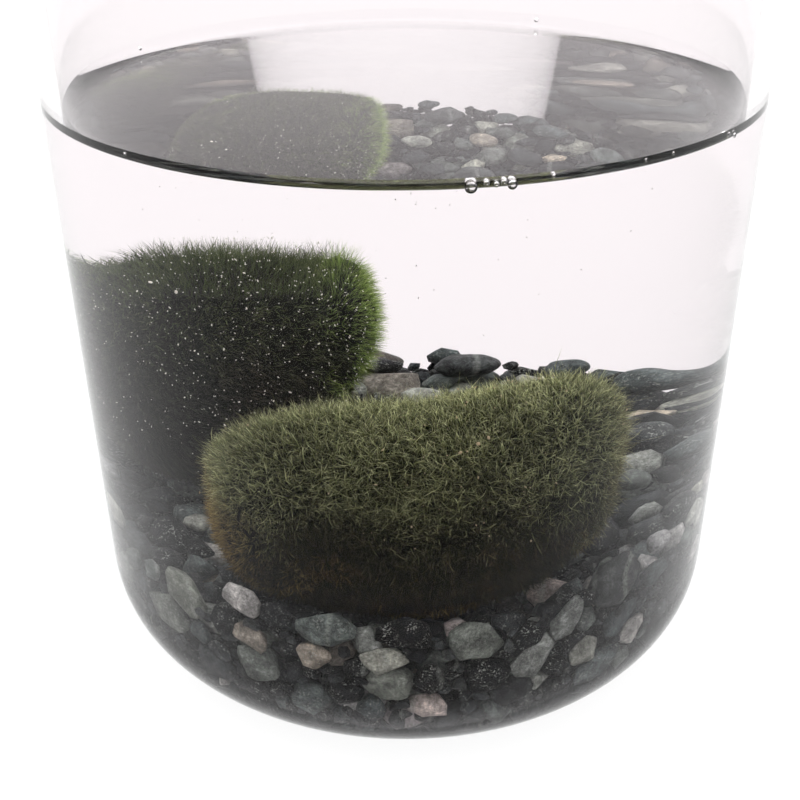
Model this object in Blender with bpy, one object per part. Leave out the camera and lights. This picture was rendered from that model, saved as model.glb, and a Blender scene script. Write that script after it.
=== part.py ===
"""An open glass jar of water with two balls of moss on a bed of gravel and pebbles.

Metres, +Z up. The origin is at the middle of the jar's foot, and -Y is the front.
"""

import math
import random

import bmesh
import bpy
from mathutils import Euler, Matrix, Vector, noise

# The jar
JAR_RADIUS = 0.050
JAR_HEIGHT = 0.125
WALL = 0.0025
BASE = 0.0035
HEEL_WIDTH = 0.0155
HEEL_HEIGHT = 0.0145
HEEL_FULLNESS = 2.2
JAR_SIDES = 48
HEEL_STEPS = 5
LIP_STEPS = 4

# Touching pieces keep this gap
GAP = 0.0003
# A gap measured straight up, so that it holds on the slopes of the gravel too
RISE_GAP = 0.0006

# The water, whose edge climbs the glass
WATER_LEVEL = 0.0860
MENISCUS_RISE = 0.0019
MENISCUS_WIDTH = 0.0030

# The gravel rises towards the back, slowly at first, and a little towards +X
GRAVEL_FRONT = 0.0205
GRAVEL_RISE = 0.0150
GRAVEL_CURVE = 1.5
GRAVEL_SIDE_SLOPE = 0.02
LUMP_SIZE = 0.0085
LUMP_HEIGHT = 0.0038
GRAVEL_STEP = 0.0050
# and is heaped up against the glass at the front: how high, how wide, and between which Y it grows
HEAP_HEIGHT = 0.0056
HEAP_WIDTH = 0.0100
HEAP_BACK = -0.0120
HEAP_FRONT = -0.0320

# The moss ball in front lies on its side: its ends, its axis and how it swells between them
FRONT_MOSS_CENTRE = Vector((0.0009, -0.0256, 0.0350))
FRONT_MOSS_HALF_LENGTH = 0.0267
FRONT_MOSS_RADIUS = 0.0178
FRONT_MOSS_FULLNESS = 3.0
FRONT_MOSS_BEND = 0.30
FRONT_MOSS_SMALL_END = 0.93
SADDLE_DEPTH = 0.0008

# The moss ball behind stands against the side of the jar: its box, its shoulder, how far its top sinks
# towards the back, and its narrower foot
BACK_MOSS_CENTRE = Vector((-0.0199, 0.0116, 0.0446))
BACK_MOSS_SIZE = Vector((0.0171, 0.0202, 0.0198))
BACK_MOSS_FULLNESS = 4.0
SHOULDER_DEPTH = 0.0037
DROOP = 0.0042
WAIST = 0.07
UNDERCUT = 0.0095

MOSS_SIDES = 22
MOSS_RINGS = 12
MOSS_LUMP_SIZE = 0.012
MOSS_LUMP_HEIGHT = 0.0007

# The loose pebbles on the gravel: first those that stand out, as x, y and length, then others
MAIN_PEBBLES = (
    (-0.0026, 0.0395, 0.0066),
    (0.0074, 0.0386, 0.0104),
    (0.0182, 0.0372, 0.0070),
    (0.0262, 0.0312, 0.0092),
    (0.0345, 0.0215, 0.0096),
    (0.0372, 0.0085, 0.0104),
    (0.0345, -0.0120, 0.0100),
    (0.0335, -0.0246, 0.0082),
    (-0.0318, -0.0262, 0.0090),
    (-0.0395, -0.0135, 0.0088),
)
PEBBLE_COUNT = 23
PEBBLE_SEED = 11
PEBBLE_LENGTH = (0.0075, 0.0105)
PEBBLE_WIDTH = (0.68, 0.85)
PEBBLE_HEIGHT = (0.48, 0.62)
PEBBLE_TILT = 0.35
PEBBLE_POINTS = 14
PEBBLE_BULGE = (0.86, 1.0)
PEBBLE_SPACING = 0.0008
PEBBLE_SUNK = 0.12

GOLDEN_ANGLE = math.pi * (3 - math.sqrt(5))

MATERIALS = {
    "clear_glass": ((0.93, 0.95, 0.94), 0.02),
    "water": ((0.86, 0.92, 0.93), 0.02),
    "gravel": ((0.12, 0.14, 0.14), 0.75),
    "pebble": ((0.22, 0.26, 0.25), 0.65),
    "moss": ((0.07, 0.10, 0.03), 0.95),
}


def clear_scene():
    for thing in list(bpy.data.objects):
        bpy.data.objects.remove(thing, do_unlink=True)


def material(name):
    found = bpy.data.materials.get(name)
    if found:
        return found
    colour, roughness = MATERIALS[name]
    made = bpy.data.materials.new(name)
    made.use_nodes = True
    shader = made.node_tree.nodes["Principled BSDF"]
    shader.inputs["Base Color"].default_value = (*colour, 1.0)
    shader.inputs["Roughness"].default_value = roughness
    shader.inputs["Metallic"].default_value = 0.0
    return made


def add_object(name, bm, finish=None):
    """Makes an object of the shape. One without a finish is only a cutter."""
    bmesh.ops.recalc_face_normals(bm, faces=bm.faces)
    if bm.calc_volume(signed=True) < 0:
        bmesh.ops.reverse_faces(bm, faces=bm.faces)
    mesh = bpy.data.meshes.new(name)
    bm.to_mesh(mesh)
    bm.free()
    made = bpy.data.objects.new(name, mesh)
    bpy.context.scene.collection.objects.link(made)
    if finish:
        mesh.materials.append(material(finish))
    else:
        made.hide_render = True
        made.display_type = "WIRE"
    return made


def cut(piece, tool, operation="DIFFERENCE"):
    modifier = piece.modifiers.new(operation.title(), "BOOLEAN")
    modifier.operation = operation
    modifier.solver = "EXACT"
    modifier.object = tool


def heel(radius, floor, inset):
    """Points (r, z) up the rounded corner from a flat floor to a wall, that far in from the glass."""
    points = []
    for i in range(HEEL_STEPS + 1):
        angle = math.pi / 2 * i / HEEL_STEPS
        across = math.sin(angle) ** (2 / HEEL_FULLNESS)
        up = 1 - math.cos(angle) ** (2 / HEEL_FULLNESS)
        points.append((radius - (HEEL_WIDTH - inset) * (1 - across), floor + (HEEL_HEIGHT - inset) * up))
    return points


def lip():
    """Points (r, z) over the rounded rim, from the outer wall to the inner one."""
    half = WALL / 2
    angles = [math.pi * i / LIP_STEPS for i in range(LIP_STEPS + 1)]
    middle = JAR_RADIUS - half
    return [(middle + half * math.cos(a), JAR_HEIGHT - half + half * math.sin(a)) for a in angles]


def turn(profile):
    """A solid of revolution from points (r, z) that begin and end on the axis."""
    bm = bmesh.new()
    points = [bm.verts.new((r, 0.0, z)) for r, z in profile]
    edges = [bm.edges.new(pair) for pair in zip(points, points[1:])]
    around = {"axis": (0, 0, 1), "cent": (0, 0, 0), "angle": math.tau, "steps": JAR_SIDES}
    bmesh.ops.spin(bm, geom=points + edges, use_merge=True, **around)
    bmesh.ops.remove_doubles(bm, verts=bm.verts, dist=GAP / 10)
    return bm


def make_jar():
    profile = [(0, 0)] + heel(JAR_RADIUS, 0, 0) + lip()
    profile += heel(JAR_RADIUS - WALL, BASE, WALL)[::-1] + [(0, BASE)]
    jar = add_object("glass_jar", turn(profile), "clear_glass")
    jar.data.shade_smooth()
    jar.data.set_sharp_from_angle(angle=math.radians(40))
    return jar


def inside_of_jar(top_profile):
    """The space inside the jar, a gap clear of the glass, closed by a profile that runs in to the axis."""
    inset = WALL + GAP
    return turn([(0, BASE + GAP)] + heel(JAR_RADIUS - inset, BASE + GAP, inset) + top_profile)


def gravel_level(x, y):
    """The height of the gravel without its lumps."""
    way_back = max(0.0, (y + JAR_RADIUS) / (2 * JAR_RADIUS))
    to_glass = min(1.0, max(0.0, 1 - (JAR_RADIUS - WALL - math.hypot(x, y)) / HEAP_WIDTH))
    to_front = min(1.0, max(0.0, (y - HEAP_BACK) / (HEAP_FRONT - HEAP_BACK)))
    heap = HEAP_HEIGHT * to_glass ** 0.5 * to_front
    return GRAVEL_FRONT + GRAVEL_RISE * way_back ** GRAVEL_CURVE + GRAVEL_SIDE_SLOPE * x + heap


def gravel_height(x, y):
    """The height of the gravel's lumpy top: rounded cells of the size of its stones."""
    nearest = noise.voronoi(Vector((x, y, 0)) / LUMP_SIZE)[0][0]
    return gravel_level(x, y) + LUMP_HEIGHT * (0.5 - min(nearest, 1.0))


def gravel_block(name, raised):
    """A block wider than the jar, whose top is the gravel's top raised by that much."""
    half = JAR_RADIUS + GRAVEL_STEP
    cells = round(2 * half / GRAVEL_STEP)
    bm = bmesh.new()
    bmesh.ops.create_grid(bm, x_segments=cells, y_segments=cells, size=half)
    for v in bm.verts:
        v.co.z = gravel_height(v.co.x, v.co.y) + raised
    top = list(bm.faces)
    rim = [e for e in bm.edges if e.is_boundary]
    skirt = bmesh.ops.extrude_edge_only(bm, edges=rim)["geom"]
    for v in skirt:
        if isinstance(v, bmesh.types.BMVert):
            v.co.z = -JAR_RADIUS
    bmesh.ops.holes_fill(bm, edges=[e for e in bm.edges if e.is_boundary], sides=0)
    bmesh.ops.triangulate(bm, faces=top)
    return add_object(name, bm)


def make_gravel():
    radius = JAR_RADIUS - WALL - GAP
    bm = inside_of_jar([(radius, WATER_LEVEL), (0, WATER_LEVEL)])
    bed = add_object("gravel_bed", bm, "gravel")
    cut(bed, gravel_block("gravel_top", 0.0), "INTERSECT")
    return bed


def make_water():
    """The water above the gravel. Its top is flat and curves up where it meets the glass."""
    radius = JAR_RADIUS - WALL - GAP
    steps = 4
    climb = []
    for i in range(steps + 1):
        share = 1 - i / steps
        climb.append((radius - MENISCUS_WIDTH * (1 - share), WATER_LEVEL + MENISCUS_RISE * share ** 2.5))
    water = add_object("water", inside_of_jar(climb + [(0, WATER_LEVEL)]), "water")
    cut(water, gravel_block("water_floor", RISE_GAP))
    return water


def superellipse(share, fullness):
    """How wide a rounded form is, as a share of its widest, at that share of the way to its end."""
    return max(0.0, 1 - abs(share) ** fullness) ** (1 / fullness)


def moss_lumps(bm, seed, swell):
    """Low lumps all over, along each point's own normal, and an even swell for a cutter."""
    # in triangles first, so that a ball and its socket have the same facets
    bmesh.ops.triangulate(bm, faces=bm.faces, quad_method="FIXED")
    bm.normal_update()
    moves = []
    for v in bm.verts:
        lump = noise.noise(v.co / MOSS_LUMP_SIZE + Vector((seed, seed, seed)))
        moves.append(v.normal * (MOSS_LUMP_HEIGHT * lump + swell))
    for v, move in zip(bm.verts, moves):
        v.co += move


def front_moss_shape(swell):
    """A fat log of moss along X, its +X end raised, its -X end slimmer and a saddle on top between them."""
    bm = bmesh.new()
    bmesh.ops.create_uvsphere(bm, u_segments=MOSS_SIDES, v_segments=MOSS_RINGS, radius=1.0)
    bmesh.ops.rotate(bm, verts=bm.verts, cent=(0, 0, 0), matrix=Matrix.Rotation(math.pi / 2, 3, "Y"))
    for v in bm.verts:
        side = Vector((0, v.co.y, v.co.z))
        along = max(-1.0, min(1.0, v.co.x))
        girth = superellipse(along, FRONT_MOSS_FULLNESS)
        end = FRONT_MOSS_SMALL_END + (1 - FRONT_MOSS_SMALL_END) * (along + 1) / 2
        if side.length > 1e-6:
            side.normalize()
        radius = FRONT_MOSS_RADIUS * girth * end
        lift = FRONT_MOSS_BEND * FRONT_MOSS_HALF_LENGTH * max(0.0, along) ** 1.2
        saddle = SADDLE_DEPTH * math.exp(-((along + 0.12) / 0.16) ** 2) * max(0.0, side.z)
        v.co = FRONT_MOSS_CENTRE + Vector(
            (FRONT_MOSS_HALF_LENGTH * along, radius * side.y, radius * side.z + lift - saddle)
        )
    moss_lumps(bm, 3.0, swell)
    return bm


def back_moss_shape(swell):
    """A boxy round ball of moss, lower on its -X side and towards the back, undercut on its +X side."""
    bm = bmesh.new()
    bmesh.ops.create_uvsphere(bm, u_segments=MOSS_SIDES, v_segments=MOSS_RINGS, radius=1.0)
    for v in bm.verts:
        p = v.co
        size = sum(abs(c) ** BACK_MOSS_FULLNESS for c in p) ** (1 / BACK_MOSS_FULLNESS)
        p = p / size
        across = max(0.0, min(1.0, (-p.x - 0.3) / 0.35))
        shoulder = SHOULDER_DEPTH * across * across * (3 - 2 * across) * max(0.0, p.z)
        droop = DROOP * max(0.0, p.y) * max(0.0, p.z)
        waist = 1 - WAIST * max(0.0, -p.z)
        undercut = UNDERCUT * max(0.0, p.x) * max(0.0, 0.25 - p.z)
        v.co = BACK_MOSS_CENTRE + Vector(
            (
                BACK_MOSS_SIZE.x * p.x * waist - undercut,
                BACK_MOSS_SIZE.y * p.y * waist,
                BACK_MOSS_SIZE.z * p.z - shoulder - droop,
            )
        )
    moss_lumps(bm, 8.0, swell)
    return bm


def pebble_shape(pebble, swell):
    """A chip of stone with flat faces: the hull of points scattered on an ellipsoid."""
    rng = random.Random(pebble["seed"])
    bm = bmesh.new()
    half = pebble["size"] / 2 + Vector((swell, swell, swell))
    for i in range(PEBBLE_POINTS):
        # spread evenly over a sphere by the golden angle, then moved a little
        z = 1 - 2 * (i + 0.5) / PEBBLE_POINTS
        angle = i * GOLDEN_ANGLE + rng.uniform(-0.3, 0.3)
        r = math.sqrt(1 - z * z)
        point = Vector((r * math.cos(angle), r * math.sin(angle), z))
        bm.verts.new(point * half * rng.uniform(*PEBBLE_BULGE))
    bmesh.ops.convex_hull(bm, input=bm.verts)
    bm.transform(Matrix.Translation(pebble["centre"]) @ pebble["turn"].to_matrix().to_4x4())
    return bm


def clear_of_moss(centre, reach):
    """True where a stone of that reach stays out of both balls of moss."""
    reach += PEBBLE_SPACING
    front_size = Vector((FRONT_MOSS_HALF_LENGTH, FRONT_MOSS_RADIUS, FRONT_MOSS_RADIUS))
    balls = (
        (FRONT_MOSS_CENTRE, front_size, FRONT_MOSS_FULLNESS),
        (BACK_MOSS_CENTRE, BACK_MOSS_SIZE, BACK_MOSS_FULLNESS),
    )
    for middle, size, fullness in balls:
        if sum(abs(c / (s + reach)) ** fullness for c, s in zip(centre - middle, size)) < 1:
            return False
    return True


def lay_pebbles():
    """Chooses how each pebble lies, and where those lie that have no place of their own."""
    rng = random.Random(PEBBLE_SEED)
    limit = JAR_RADIUS - WALL - GAP - PEBBLE_SPACING
    places = list(MAIN_PEBBLES)
    pebbles = []
    while len(pebbles) < PEBBLE_COUNT:
        if places:
            x, y, length = places.pop(0)
        else:
            distance = limit * math.sqrt(rng.random())
            angle = rng.uniform(0, math.tau)
            x, y, length = distance * math.cos(angle), distance * math.sin(angle), rng.uniform(*PEBBLE_LENGTH)
        size = length * Vector((1, rng.uniform(*PEBBLE_WIDTH), rng.uniform(*PEBBLE_HEIGHT)))
        tilts = [rng.uniform(-PEBBLE_TILT, PEBBLE_TILT) for _ in range(2)]
        # a pebble near the glass lies along it
        turned = Euler((*tilts, math.atan2(x, -y) + rng.uniform(-0.4, 0.4)))
        reach = length / 2
        centre = Vector((x, y, gravel_level(x, y) + size.z * PEBBLE_SUNK))
        apart = all((centre - p["centre"]).length > reach + p["size"].x / 2 + PEBBLE_SPACING for p in pebbles)
        if math.hypot(x, y) + reach < limit and apart and clear_of_moss(centre, reach):
            pebbles.append({"centre": centre, "size": size, "turn": turned, "seed": len(pebbles)})
    return pebbles


def main():
    clear_scene()
    make_jar()
    bed = make_gravel()
    water = make_water()
    for name, shape in (("moss_ball_front", front_moss_shape), ("moss_ball_back", back_moss_shape)):
        ball = add_object(name, shape(0.0), "moss")
        ball.data.shade_smooth()
        socket = add_object(name + "_socket", shape(GAP))
        cut(bed, socket)
        cut(water, socket)
    sockets = bmesh.new()
    for i, pebble in enumerate(lay_pebbles()):
        add_object(f"pebble_{i + 1:02d}", pebble_shape(pebble, 0.0), "pebble")
        socket = pebble_shape(pebble, GAP * 1.2)
        mesh = bpy.data.meshes.new("socket")
        socket.to_mesh(mesh)
        socket.free()
        sockets.from_mesh(mesh)
    pebble_sockets = add_object("pebble_sockets", sockets)
    cut(bed, pebble_sockets)
    cut(water, pebble_sockets)


main()
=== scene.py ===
"""Two balls of marimo moss in a straight glass jar of water, on a bed of wet gravel.

It is laid out as an add-on: settings, one operator for each piece, a panel in the sidebar and a stage.
Run as a script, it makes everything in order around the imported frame. All sizes are in metres, +Z up,
the jar's foot is on the floor at the origin, and -Y is the front.
"""

import math
import random
from collections import namedtuple

import bmesh
import bpy
import numpy as np
from mathutils import Euler, Matrix, Vector
from mathutils.bvhtree import BVHTree


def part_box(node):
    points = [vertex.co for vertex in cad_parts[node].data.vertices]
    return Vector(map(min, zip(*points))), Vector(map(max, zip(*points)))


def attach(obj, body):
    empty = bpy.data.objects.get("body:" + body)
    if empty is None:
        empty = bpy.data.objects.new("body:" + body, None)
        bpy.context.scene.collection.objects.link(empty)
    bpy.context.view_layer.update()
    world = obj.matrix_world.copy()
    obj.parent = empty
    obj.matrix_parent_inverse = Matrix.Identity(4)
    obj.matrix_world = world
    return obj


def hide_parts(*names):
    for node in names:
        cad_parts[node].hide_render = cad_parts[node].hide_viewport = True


bl_info = {
    "name": "Marimo Moss Jar",
    "version": (1, 0, 0),
    "blender": (4, 5, 0),
    "location": "3D View > Sidebar > Moss Jar",
    "description": "Makes a glass jar of water with two moss balls on gravel",
    "category": "Add Mesh",
}

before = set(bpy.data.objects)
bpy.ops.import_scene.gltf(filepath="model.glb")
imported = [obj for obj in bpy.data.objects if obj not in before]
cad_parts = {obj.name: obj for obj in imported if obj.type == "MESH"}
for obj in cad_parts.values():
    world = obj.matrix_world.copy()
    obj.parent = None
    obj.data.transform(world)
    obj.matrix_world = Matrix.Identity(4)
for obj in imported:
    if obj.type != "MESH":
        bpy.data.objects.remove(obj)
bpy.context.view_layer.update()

MM = 0.001
MERGE = 0.00001
CUT = 0.0000001

# Read from the frame
JAR_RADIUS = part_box("glass_jar")[1].x
JAR_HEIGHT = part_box("glass_jar")[1].z
WATER_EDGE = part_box("water")[1].z
WATER_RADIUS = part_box("water")[1].x
PEBBLES = sorted(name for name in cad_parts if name.startswith("pebble_"))

GOLDEN_ANGLE = math.pi * (3 - math.sqrt(5))

# The jar's wall and its round heel, as the frame has them
WALL = JAR_RADIUS - WATER_RADIUS - 0.3 * MM
BASE = 3.5 * MM
HEEL_WIDTH = 15.5 * MM
HEEL_HEIGHT = 14.5 * MM
HEEL_FULLNESS = 2.2
HEEL_STEPS = 16
LIP_STEPS = 10
ROUND_STEPS = 240
LONG_RUN = 6 * MM
HOLD = 0.4 * MM

# The water's sides lie this far inside the glass, so that light passes from glass to water with no air
# between
WATER_OVERLAP = 0.06 * MM


class JarSettings(bpy.types.PropertyGroup):
    """The glass jar."""

    tint: bpy.props.FloatVectorProperty(
        name="Glass tint",
        description="Colour that the clear glass gives to what is seen through it",
        default=(0.908, 0.882, 0.890),
        subtype="COLOR",
        min=0,
        max=1,
    )


class WaterSettings(bpy.types.PropertyGroup):
    """The water and what floats in it."""

    rise: bpy.props.FloatProperty(
        name="Rise at the glass",
        description="How far the water's edge climbs the glass",
        default=1.9 * MM,
        unit="LENGTH",
    )
    reach: bpy.props.FloatProperty(
        name="Reach of the rise",
        description="Distance from the glass over which the climb falls to a third",
        default=0.9 * MM,
        unit="LENGTH",
    )
    tint: bpy.props.FloatVectorProperty(
        name="Water tint",
        description="Colour that the water gives to what is seen through it",
        default=(1.0, 0.996, 1.0),
        subtype="COLOR",
        min=0,
        max=1,
    )
    specks: bpy.props.IntProperty(
        name="Specks",
        description="Number of tiny specks that float in the clear water",
        default=110,
        min=0,
    )


class GravelSettings(bpy.types.PropertyGroup):
    """The gravel bed."""

    largest: bpy.props.FloatProperty(
        name="Largest stone",
        description="Length of the largest stones of the bed",
        default=8.4 * MM,
        unit="LENGTH",
    )
    gap: bpy.props.FloatProperty(
        name="Gap",
        description="Half the gap left between two stones that touch",
        default=0.05 * MM,
        unit="LENGTH",
    )
    stand_out: bpy.props.FloatProperty(
        name="Stand out",
        description="How far a stone may reach over the top of the bed",
        default=0.8 * MM,
        unit="LENGTH",
    )
    rounding_depth: bpy.props.FloatProperty(
        name="Rounded layer",
        description="Stones this near to the glass or the top are rounded, and deeper ones are plain",
        default=6.5 * MM,
        unit="LENGTH",
    )
    seed: bpy.props.IntProperty(name="Seed", description="Seed of the stones' places", default=5)


class MossSettings(bpy.types.PropertyGroup):
    """The two moss balls."""

    front_filaments: bpy.props.IntProperty(
        name="Front filaments",
        description="Number of long filaments on the front ball",
        default=56000,
        min=100,
    )
    front_down: bpy.props.IntProperty(
        name="Front down",
        description="Number of short filaments between the long ones of the front ball",
        default=27000,
        min=100,
    )
    back_filaments: bpy.props.IntProperty(
        name="Back filaments",
        description="Number of filaments on the back ball",
        default=39000,
        min=100,
    )
    width: bpy.props.FloatProperty(
        name="Filament width",
        description="Width of a filament at its root",
        default=0.10 * MM,
        unit="LENGTH",
    )
    depth: bpy.props.FloatProperty(
        name="Felt depth",
        description="How far below the tips the dense felt begins",
        default=1.7 * MM,
        unit="LENGTH",
    )


class StageSettings(bpy.types.PropertyGroup):
    """The floor, the lights and the camera."""

    distance: bpy.props.FloatProperty(
        name="Camera distance",
        description="From the jar's axis to the camera, level",
        default=160.9 * MM,
        unit="LENGTH",
    )
    height: bpy.props.FloatProperty(
        name="Camera height",
        description="Height of the camera over the floor",
        default=125.25 * MM,
        unit="LENGTH",
    )
    lens: bpy.props.FloatProperty(
        name="Focal length",
        description="Focal length on a 36 mm sensor, in millimetres",
        default=50.07,
    )
    world: bpy.props.FloatProperty(
        name="World light",
        description="Strength of the even light from all round",
        default=1.52,
    )
    overhead: bpy.props.FloatProperty(
        name="Overhead light",
        description="Strength of the soft light from above",
        default=5.0,
    )
    floor: bpy.props.FloatProperty(
        name="Floor glow",
        description="How strongly the white floor glows by itself",
        default=0.92,
    )


SETTINGS = {
    "moss_jar_glass": JarSettings,
    "moss_jar_water": WaterSettings,
    "moss_jar_gravel": GravelSettings,
    "moss_jar_moss": MossSettings,
    "moss_jar_stage": StageSettings,
}


# Node trees

class Tree:
    """Adds nodes to a node tree, left to right, and links a socket wherever one is given as a value."""

    def __init__(self, tree):
        self.tree = tree
        self.column = 0

    def add(self, kind, values=None, **settings):
        node = self.tree.nodes.new(kind)
        node.location = (220 * self.column, 0)
        self.column += 1
        for key, value in settings.items():
            setattr(node, key, value)
        for key, value in (values or {}).items():
            self.set(node.inputs[key], value)
        return node

    def set(self, socket, value):
        if isinstance(value, bpy.types.NodeSocket):
            self.tree.links.new(value, socket)
        else:
            socket.default_value = value

    def math(self, operation, *values):
        node = self.add("ShaderNodeMath", operation=operation)
        for i, value in enumerate(values):
            self.set(node.inputs[i], value)
        return node.outputs[0]

    def mix(self, share, first, second, blend="MIX"):
        node = self.add("ShaderNodeMix", data_type="RGBA", blend_type=blend)
        self.set(node.inputs[0], share)
        self.set(node.inputs[6], first)
        self.set(node.inputs[7], second)
        return node.outputs[2]

    def ramp(self, value, stops, interpolation="LINEAR"):
        node = self.add("ShaderNodeValToRGB", {"Fac": value})
        ramp = node.color_ramp
        ramp.interpolation = interpolation
        while len(ramp.elements) < len(stops):
            ramp.elements.new(0.5)
        for element, (position, colour) in zip(ramp.elements, stops):
            element.position = position
            element.color = (*colour, 1.0) if isinstance(colour, tuple) else (colour, colour, colour, 1.0)
        return node.outputs["Color"]

    def range(self, value, low, high, to_low=0.0, to_high=1.0):
        values = {"Value": value, "From Min": low, "From Max": high, "To Min": to_low, "To Max": to_high}
        return self.add("ShaderNodeMapRange", values).outputs["Result"]

    def noise(self, vector, scale, detail=3.0, roughness=0.55):
        values = {"Vector": vector, "Scale": scale, "Detail": detail, "Roughness": roughness}
        return self.add("ShaderNodeTexNoise", values).outputs["Fac"]


def new_group(name, inputs, outputs):
    """A shader node group with named sockets. Returns its tree builder, input node and output node."""
    group = bpy.data.node_groups.new(name, "ShaderNodeTree")
    for socket, kind, value in inputs:
        made = group.interface.new_socket(name=socket, in_out="INPUT", socket_type=kind)
        if value is not None:
            made.default_value = value
    for socket, kind in outputs:
        group.interface.new_socket(name=socket, in_out="OUTPUT", socket_type=kind)
    tree = Tree(group)
    return tree, tree.add("NodeGroupInput").outputs, tree.add("NodeGroupOutput").inputs


def material(name):
    """A new material with its tree builder and its Principled shader."""
    made = bpy.data.materials.new(name)
    made.use_nodes = True
    tree = Tree(made.node_tree)
    return made, tree, made.node_tree.nodes["Principled BSDF"]


def speckle_group():
    """Mottling, grit and pale speckle over a stone's own colour, with the bump of its surface."""
    name = "Stone Grain"
    if name in bpy.data.node_groups:
        return bpy.data.node_groups[name]
    inputs = (
        ("Vector", "NodeSocketVector", None),
        ("Colour", "NodeSocketColor", (0.1, 0.1, 0.1, 1)),
        ("Pale", "NodeSocketColor", (0.42, 0.45, 0.41, 1)),
        ("Speckle", "NodeSocketFloat", 0.5),
        ("Veins", "NodeSocketFloat", 0.5),
        ("Depth", "NodeSocketFloat", 0.0003),
    )
    outputs = (("Colour", "NodeSocketColor"), ("Normal", "NodeSocketVector"))
    tree, given, out = new_group(name, inputs, outputs)
    vector = given["Vector"]
    cloud = tree.noise(vector, 430, 4, 0.62)
    grit = tree.noise(vector, 2300, 4, 0.75)
    shade = tree.ramp(cloud, ((0.28, 0.38), (0.45, 0.8), (0.55, 1.15), (0.72, 2.1)))
    colour = tree.mix(1.0, given["Colour"], shade, "MULTIPLY")
    colour = tree.mix(1.0, colour, tree.ramp(grit, ((0.30, 0.45), (0.50, 1.0), (0.68, 1.75))), "MULTIPLY")
    fine = tree.noise(vector, 3600, 2, 0.6)
    patch = tree.noise(vector, 640, 3)
    dots = tree.math("MULTIPLY", tree.range(fine, 0.56, 0.64), tree.range(patch, 0.44, 0.58))
    dots = tree.math("MULTIPLY", dots, given["Speckle"])
    waves = {"Vector": vector, "Scale": 55.0, "Distortion": 2.5, "Detail": 2.0, "Detail Scale": 1.5}
    line = tree.add("ShaderNodeTexWave", waves).outputs["Fac"]
    vein = tree.math("MULTIPLY", tree.range(line, 0.90, 1.0), given["Veins"])
    vein = tree.math("MULTIPLY", vein, tree.range(grit, 0.35, 0.55))
    cover = tree.math("MINIMUM", tree.math("ADD", dots, vein), 1.0)
    tree.set(out["Colour"], tree.mix(cover, colour, given["Pale"]))
    height = tree.math("ADD", tree.math("MULTIPLY", grit, 0.5), cloud)
    bump = tree.add("ShaderNodeBump", {"Strength": 1.0, "Distance": given["Depth"], "Height": height})
    tree.set(out["Normal"], bump.outputs["Normal"])
    return tree.tree


GLASS_IOR = 1.5
WATER_IOR = 1.333

# What is under water reflects less than it does in air
WET_STONE_IOR = 1.22
FELT_IOR = 1.2
WET_IOR = 1.15

# Colours of the stones, by a stone's number: black, slate, teal, green, pale green, near white, brown,
# pale grey, beige and pink
STONE_COLOURS = (
    (0.00, (0.007, 0.008, 0.009)),
    (0.13, (0.018, 0.020, 0.022)),
    (0.28, (0.044, 0.050, 0.052)),
    (0.44, (0.088, 0.107, 0.105)),
    (0.59, (0.150, 0.168, 0.150)),
    (0.72, (0.300, 0.318, 0.285)),
    (0.82, (0.092, 0.086, 0.078)),
    (0.88, (0.360, 0.362, 0.350)),
    (0.94, (0.370, 0.335, 0.275)),
    (0.975, (0.330, 0.300, 0.290)),
)


def stone_material():
    """Wet stone. Each stone's colour and pattern come from its own number in the Stone attribute."""
    if "Wet Stone" in bpy.data.materials:
        return bpy.data.materials["Wet Stone"]
    made, tree, shader = material("Wet Stone")
    number = tree.add("ShaderNodeAttribute", attribute_name="Stone").outputs["Fac"]
    place = tree.add("ShaderNodeTexCoord").outputs["Object"]
    shifted = tree.add("ShaderNodeVectorMath", operation="ADD")
    tree.set(shifted.inputs[0], place)
    tree.set(shifted.inputs[1], number)
    second = tree.math("FRACT", tree.math("MULTIPLY", number, 37.7))
    third = tree.math("FRACT", tree.math("MULTIPLY", number, 91.3))
    tone = tree.ramp(third, ((0.0, (0.66, 0.68, 0.71)), (0.5, (1, 1, 1)), (1.0, (1.32, 1.28, 1.20))))
    base = tree.mix(1.0, tree.ramp(number, STONE_COLOURS, "CONSTANT"), tone, "MULTIPLY")
    grain = tree.add("ShaderNodeGroup", node_tree=speckle_group())
    tree.set(grain.inputs["Vector"], shifted.outputs[0])
    tree.set(grain.inputs["Colour"], base)
    # the blackest stones have the strongest white net
    black = tree.range(number, 0.12, 0.14, 0.85, 0.0)
    tree.set(grain.inputs["Speckle"], tree.math("MAXIMUM", tree.range(second, 0.1, 0.9, 0.05, 0.8), black))
    tree.set(grain.inputs["Veins"], tree.range(third, 0.7, 1.0, 0.0, 0.5))
    tree.set(shader.inputs["Base Color"], grain.outputs["Colour"])
    tree.set(shader.inputs["Normal"], grain.outputs["Normal"])
    shader.inputs["Roughness"].default_value = 0.5
    shader.inputs["IOR"].default_value = WET_STONE_IOR
    return made


def filament_material(name, roots, middle, tips, old_and_shaded, stain, spread):
    """Moss filaments: dark at the root as painted shade deep in the moss, fresh at the tip, duller where old
    and where painted shade falls, and stained in patches.

    The Moss attribute holds each filament's own number, the way along it, how old the felt is there and how
    much painted shade falls on it, and, as its alpha, how stained. The spread is the brightness from the
    lowest number to the highest.
    """
    made, tree, shader = material(name)
    source = tree.add("ShaderNodeAttribute", attribute_name="Moss")
    parts = tree.add("ShaderNodeSeparateColor", {"Color": source.outputs["Color"]})
    number, along, age_and_shade = parts.outputs[0], parts.outputs[1], parts.outputs[2]
    fresh = tree.ramp(along, ((0.0, roots), (0.5, middle), (1.0, tips)))
    aged_and_shaded = tree.mix(age_and_shade, fresh, tree.ramp(along, ((0.0, roots), (1.0, old_and_shaded))))
    colour = tree.mix(source.outputs["Alpha"], aged_and_shaded, tree.ramp(along, ((0.0, roots), (1.0, stain))))
    stops = list(zip((0.0, 0.55, 0.88, 1.0), spread))
    tree.set(shader.inputs["Base Color"], tree.mix(1.0, colour, tree.ramp(number, stops), "MULTIPLY"))
    shader.inputs["Roughness"].default_value = 0.7
    shader.inputs["IOR"].default_value = WET_IOR
    return made


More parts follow.
